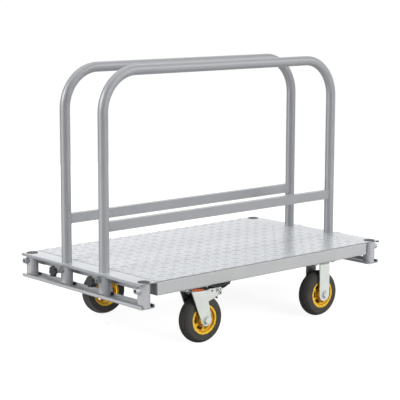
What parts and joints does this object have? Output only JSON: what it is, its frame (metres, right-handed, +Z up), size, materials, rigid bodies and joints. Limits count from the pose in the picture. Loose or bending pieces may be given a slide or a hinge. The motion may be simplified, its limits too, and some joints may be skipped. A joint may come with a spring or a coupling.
{
  "type": "drywall cart",
  "caption": "Panel cart with a tread deck on fixed and braked swivel casters, and two tubular hoops clamped in end sockets to hold boards upright.",
  "frame": {"origin": "middle of the cart on the floor", "axes": "+X along the deck towards the fixed casters, +Y across it to the left, +Z up"},
  "size_m": [1.102, 0.61, 0.853],
  "materials": {
    "tread_silver": "bright silver tread sheet",
    "channel_silver": "silver-grey paint",
    "rail_silver": "silver-grey paint, satin",
    "hoop_grey": "silver-grey paint, satin",
    "zinc": "bright zinc plate",
    "steel": "oiled steel",
    "knob_black": "moulded black",
    "plug_black": "moulded black",
    "tyre_black": "black rubber",
    "hub_yellow": "moulded yellow",
    "pedal_black": "black paint",
    "lock_orange": "orange-red paint",
    "shoe_black": "hard rubber"
  },
  "bodies": {
    "cart_frame": {"tread_sheet": "tread_silver", "right_side_channel": "channel_silver", "left_side_channel": "channel_silver", "rear_deck_end": "channel_silver", "front_deck_end": "channel_silver", "caster_channels": "channel_silver", "rear_top_rail": "tread_silver", "front_top_rail": "tread_silver", "rear_bottom_rail": "rail_silver", "front_bottom_rail": "rail_silver", "rear_sockets": "rail_silver", "front_sockets": "rail_silver", "weld_nuts": "rail_silver", "caster_bolts": "zinc", "caster_nuts": "zinc", "right_fixed_fork": "zinc", "left_fixed_fork": "zinc", "fixed_axles": "zinc", "right_swivel_plate": "zinc", "left_swivel_plate": "zinc", "race_rings": "zinc", "kingpins": "steel", "swivel_balls": "steel"},
    "right_hoop": {"right_hoop_tube": "hoop_grey", "right_hoop_crossbar": "hoop_grey"},
    "left_hoop": {"left_hoop_tube": "hoop_grey", "left_hoop_crossbar": "hoop_grey"},
    "rear_right_clamp_screw": {"rear_right_screw": "zinc"},
    "rear_right_star_knob": {"rear_right_knob": "knob_black"},
    "rear_right_socket_plug": {"rear_right_plug": "plug_black"},
    "rear_left_clamp_screw": {"rear_left_screw": "zinc"},
    "rear_left_star_knob": {"rear_left_knob": "knob_black"},
    "rear_left_socket_plug": {"rear_left_plug": "plug_black"},
    "front_right_clamp_screw": {"front_right_screw": "zinc"},
    "front_right_star_knob": {"front_right_knob": "knob_black"},
    "front_right_socket_plug": {"front_right_plug": "plug_black"},
    "front_left_clamp_screw": {"front_left_screw": "zinc"},
    "front_left_star_knob": {"front_left_knob": "knob_black"},
    "front_left_socket_plug": {"front_left_plug": "plug_black"},
    "right_fixed_wheel": {"right_fixed_tyre": "tyre_black", "right_fixed_hub": "hub_yellow"},
    "left_fixed_wheel": {"left_fixed_tyre": "tyre_black", "left_fixed_hub": "hub_yellow"},
    "right_swivel_caster": {"right_swivel_fork": "zinc", "right_swivel_axle": "zinc", "right_brake_bracket": "zinc"},
    "right_swivel_wheel": {"right_swivel_tyre": "tyre_black", "right_swivel_hub": "hub_yellow"},
    "right_pedal": {"right_brake_pedal": "pedal_black"},
    "right_shoe": {"right_brake_shoe": "shoe_black"},
    "right_lock": {"right_lock_arm": "lock_orange"},
    "left_swivel_caster": {"left_swivel_fork": "zinc", "left_swivel_axle": "zinc", "left_brake_bracket": "zinc"},
    "left_swivel_wheel": {"left_swivel_tyre": "tyre_black", "left_swivel_hub": "hub_yellow"},
    "left_pedal": {"left_brake_pedal": "pedal_black"},
    "left_shoe": {"left_brake_shoe": "shoe_black"},
    "left_lock": {"left_lock_arm": "lock_orange"}
  },
  "joints": [
    {"name": "right_hoop_lift", "type": "slide", "parent": "cart_frame", "child": "right_hoop", "axis": [0, 0, 1], "range_m": [0, 0.1]},
    {"name": "left_hoop_lift", "type": "slide", "parent": "cart_frame", "child": "left_hoop", "axis": [0, 0, 1], "range_m": [0, 0.1]},
    {"name": "rear_right_screw_feed", "type": "slide", "parent": "cart_frame", "child": "rear_right_clamp_screw", "axis": [-1, 0, 0], "range_m": [0, 0.00751]},
    {"name": "rear_right_knob_turn", "type": "hinge", "parent": "rear_right_clamp_screw", "child": "rear_right_star_knob", "pos_m": [-0.493, -0.096, 0.21], "axis": [-1, 0, 0], "range_deg": [0, 1800]},
    {"name": "rear_right_plug_pull", "type": "slide", "parent": "cart_frame", "child": "rear_right_socket_plug", "axis": [0, 0, 1], "range_m": [0, 0.03]},
    {"name": "rear_left_screw_feed", "type": "slide", "parent": "cart_frame", "child": "rear_left_clamp_screw", "axis": [-1, 0, 0], "range_m": [0, 0.00751]},
    {"name": "rear_left_knob_turn", "type": "hinge", "parent": "rear_left_clamp_screw", "child": "rear_left_star_knob", "pos_m": [-0.493, 0.096, 0.21], "axis": [-1, 0, 0], "range_deg": [0, 1800]},
    {"name": "rear_left_plug_pull", "type": "slide", "parent": "cart_frame", "child": "rear_left_socket_plug", "axis": [0, 0, 1], "range_m": [0, 0.03]},
    {"name": "front_right_screw_feed", "type": "slide", "parent": "cart_frame", "child": "front_right_clamp_screw", "axis": [1, 0, 0], "range_m": [0, 0.00751]},
    {"name": "front_right_knob_turn", "type": "hinge", "parent": "front_right_clamp_screw", "child": "front_right_star_knob", "pos_m": [0.493, -0.096, 0.21], "axis": [1, 0, 0], "range_deg": [0, 1800]},
    {"name": "front_right_plug_pull", "type": "slide", "parent": "cart_frame", "child": "front_right_socket_plug", "axis": [0, 0, 1], "range_m": [0, 0.03]},
    {"name": "front_left_screw_feed", "type": "slide", "parent": "cart_frame", "child": "front_left_clamp_screw", "axis": [1, 0, 0], "range_m": [0, 0.00751]},
    {"name": "front_left_knob_turn", "type": "hinge", "parent": "front_left_clamp_screw", "child": "front_left_star_knob", "pos_m": [0.493, 0.096, 0.21], "axis": [1, 0, 0], "range_deg": [0, 1800]},
    {"name": "front_left_plug_pull", "type": "slide", "parent": "cart_frame", "child": "front_left_socket_plug", "axis": [0, 0, 1], "range_m": [0, 0.03]},
    {"name": "right_fixed_wheel_spin", "type": "hinge", "parent": "cart_frame", "child": "right_fixed_wheel", "pos_m": [0.283, -0.247, 0.076], "axis": [0, 1, 0], "continuous": true},
    {"name": "left_fixed_wheel_spin", "type": "hinge", "parent": "cart_frame", "child": "left_fixed_wheel", "pos_m": [0.283, 0.247, 0.076], "axis": [0, 1, 0], "continuous": true},
    {"name": "right_swivel_turn", "type": "hinge", "parent": "cart_frame", "child": "right_swivel_caster", "pos_m": [-0.283, -0.247, 0.076], "axis": [0, 0, 1], "continuous": true},
    {"name": "right_swivel_wheel_spin", "type": "hinge", "parent": "right_swivel_caster", "child": "right_swivel_wheel", "pos_m": [-0.24106, -0.2492, 0.076], "axis": [0.0523, 0.9986, 0], "continuous": true},
    {"name": "right_pedal_press", "type": "hinge", "parent": "right_swivel_caster", "child": "right_pedal", "pos_m": [-0.19512, -0.25161, 0.164], "axis": [0.0523, 0.9986, 0], "range_deg": [0, 10]},
    {"name": "right_shoe_swing", "type": "hinge", "parent": "right_swivel_caster", "child": "right_shoe", "pos_m": [-0.18513, -0.25213, 0.154], "axis": [0.0523, 0.9986, 0], "range_deg": [0, 14]},
    {"name": "right_lock_lift", "type": "hinge", "parent": "right_swivel_caster", "child": "right_lock", "pos_m": [-0.21709, -0.25045, 0.164], "axis": [0.0523, 0.9986, 0], "range_deg": [0, 2]},
    {"name": "left_swivel_turn", "type": "hinge", "parent": "cart_frame", "child": "left_swivel_caster", "pos_m": [-0.283, 0.247, 0.076], "axis": [0, 0, 1], "continuous": true},
    {"name": "left_swivel_wheel_spin", "type": "hinge", "parent": "left_swivel_caster", "child": "left_swivel_wheel", "pos_m": [-0.24164, 0.23971, 0.076], "axis": [0.1736, 0.9848, 0], "continuous": true},
    {"name": "left_pedal_press", "type": "hinge", "parent": "left_swivel_caster", "child": "left_pedal", "pos_m": [-0.19634, 0.23172, 0.164], "axis": [0.1736, 0.9848, 0], "range_deg": [0, 10]},
    {"name": "left_shoe_swing", "type": "hinge", "parent": "left_swivel_caster", "child": "left_shoe", "pos_m": [-0.18649, 0.22998, 0.154], "axis": [0.1736, 0.9848, 0], "range_deg": [0, 14]},
    {"name": "left_lock_lift", "type": "hinge", "parent": "left_swivel_caster", "child": "left_lock", "pos_m": [-0.218, 0.23554, 0.164], "axis": [0.1736, 0.9848, 0], "range_deg": [0, 2]}
  ],
  "couplings": [
    {"joint": "rear_right_screw_feed", "follows": "rear_right_knob_turn", "m_per_rad": 0.00023873},
    {"joint": "rear_left_screw_feed", "follows": "rear_left_knob_turn", "m_per_rad": 0.00023873},
    {"joint": "front_right_screw_feed", "follows": "front_right_knob_turn", "m_per_rad": 0.00023873},
    {"joint": "front_left_screw_feed", "follows": "front_left_knob_turn", "m_per_rad": 0.00023873},
    {"joint": "right_shoe_swing", "follows": "right_pedal_press", "ratio": 1.4},
    {"joint": "right_lock_lift", "follows": "right_pedal_press", "ratio": 0.2},
    {"joint": "left_shoe_swing", "follows": "left_pedal_press", "ratio": 1.4},
    {"joint": "left_lock_lift", "follows": "left_pedal_press", "ratio": 0.2}
  ]
}
